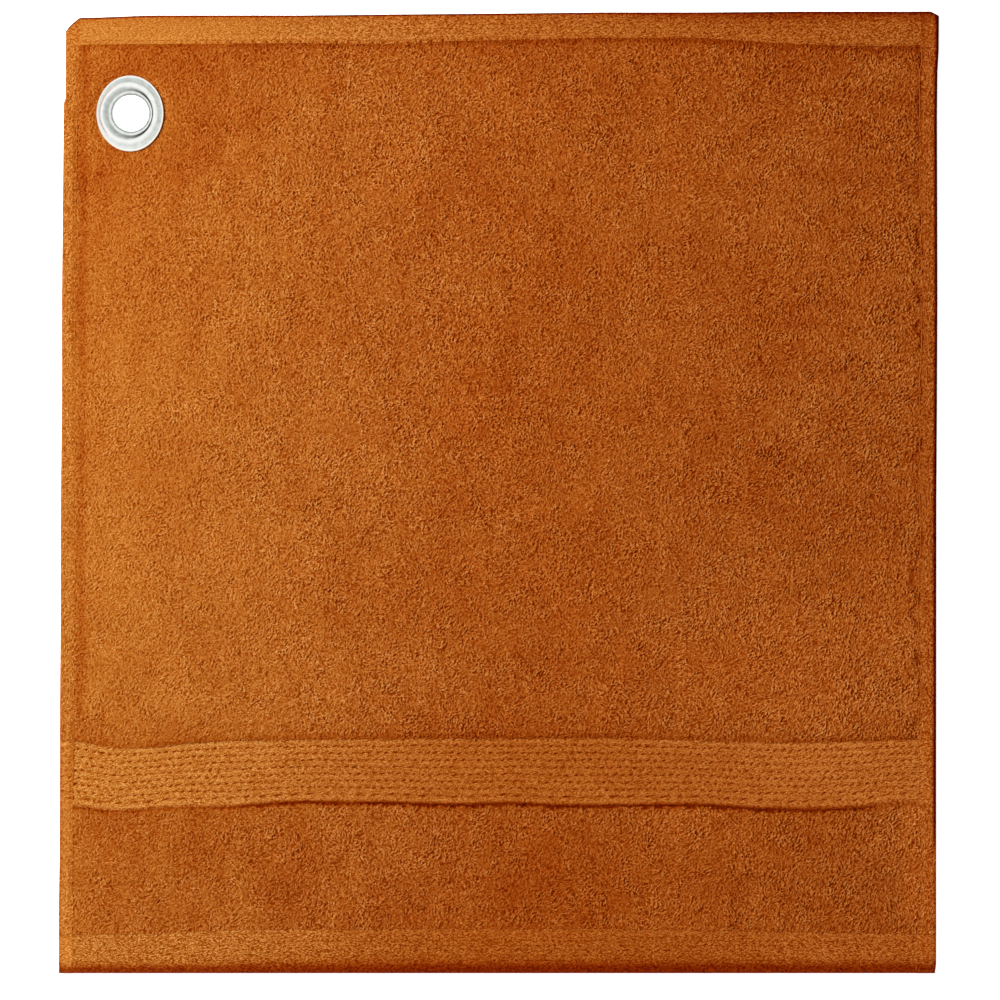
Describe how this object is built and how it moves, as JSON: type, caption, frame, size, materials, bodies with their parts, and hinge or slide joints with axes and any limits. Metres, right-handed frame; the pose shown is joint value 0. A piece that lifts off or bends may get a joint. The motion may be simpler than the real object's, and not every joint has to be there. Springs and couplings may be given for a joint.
{
  "type": "golf towel",
  "caption": "Cotton terry golf towel with turned and stitched hems, a flat-woven dobby band and a corner grommet to hang it by; folds in thirds.",
  "frame": {"origin": "under the middle of the towel, on the plane its back rests on", "axes": "+Z square to the cloth and out of its front face; +Y up the towel, from the band end to the top hem with the grommet; +X across it, to the right seen from the front, with the grommet on the left"},
  "size_m": [0.4088, 0.4466, 0.0044],
  "materials": {
    "terry_cotton": "looped cotton pile, burnt orange",
    "flat_weave_cotton": "flat-woven cotton, burnt orange",
    "seam_thread": "twisted sewing thread, burnt orange",
    "nickel_plate": "bright nickel plate on pressed metal"
  },
  "bodies": {
    "middle_third": {"terry_field_middle": "terry_cotton", "left_hem_middle": "terry_cotton", "right_hem_middle": "terry_cotton", "left_needle_thread_middle": "seam_thread", "left_bobbin_thread_middle": "seam_thread", "right_needle_thread_middle": "seam_thread", "right_bobbin_thread_middle": "seam_thread"},
    "lower_third": {"terry_field_lower": "terry_cotton", "dobby_band": "flat_weave_cotton", "terry_field_bottom": "terry_cotton", "bottom_hem": "flat_weave_cotton", "bottom_needle_thread": "seam_thread", "bottom_bobbin_thread": "seam_thread", "left_hem_lower": "terry_cotton", "right_hem_lower": "terry_cotton", "left_needle_thread_lower": "seam_thread", "left_bobbin_thread_lower": "seam_thread", "right_needle_thread_lower": "seam_thread", "right_bobbin_thread_lower": "seam_thread"},
    "upper_third": {"terry_field_upper": "terry_cotton", "top_hem": "flat_weave_cotton", "top_needle_thread": "seam_thread", "top_bobbin_thread": "seam_thread", "grommet_eyelet": "nickel_plate", "grommet_washer": "nickel_plate", "left_hem_upper": "terry_cotton", "right_hem_upper": "terry_cotton", "left_needle_thread_upper": "seam_thread", "left_bobbin_thread_upper": "seam_thread", "right_needle_thread_upper": "seam_thread", "right_bobbin_thread_upper": "seam_thread"}
  },
  "joints": [
    {"name": "lower_fold", "type": "hinge", "parent": "middle_third", "child": "lower_third", "pos_m": [0, -0.0744, 0.00425], "axis": [-1, 0, 0], "range_deg": [0, 179.9]},
    {"name": "upper_fold", "type": "hinge", "parent": "middle_third", "child": "upper_third", "pos_m": [0, 0.0744, 0.007], "axis": [1, 0, 0], "range_deg": [0, 179.9]}
  ]
}
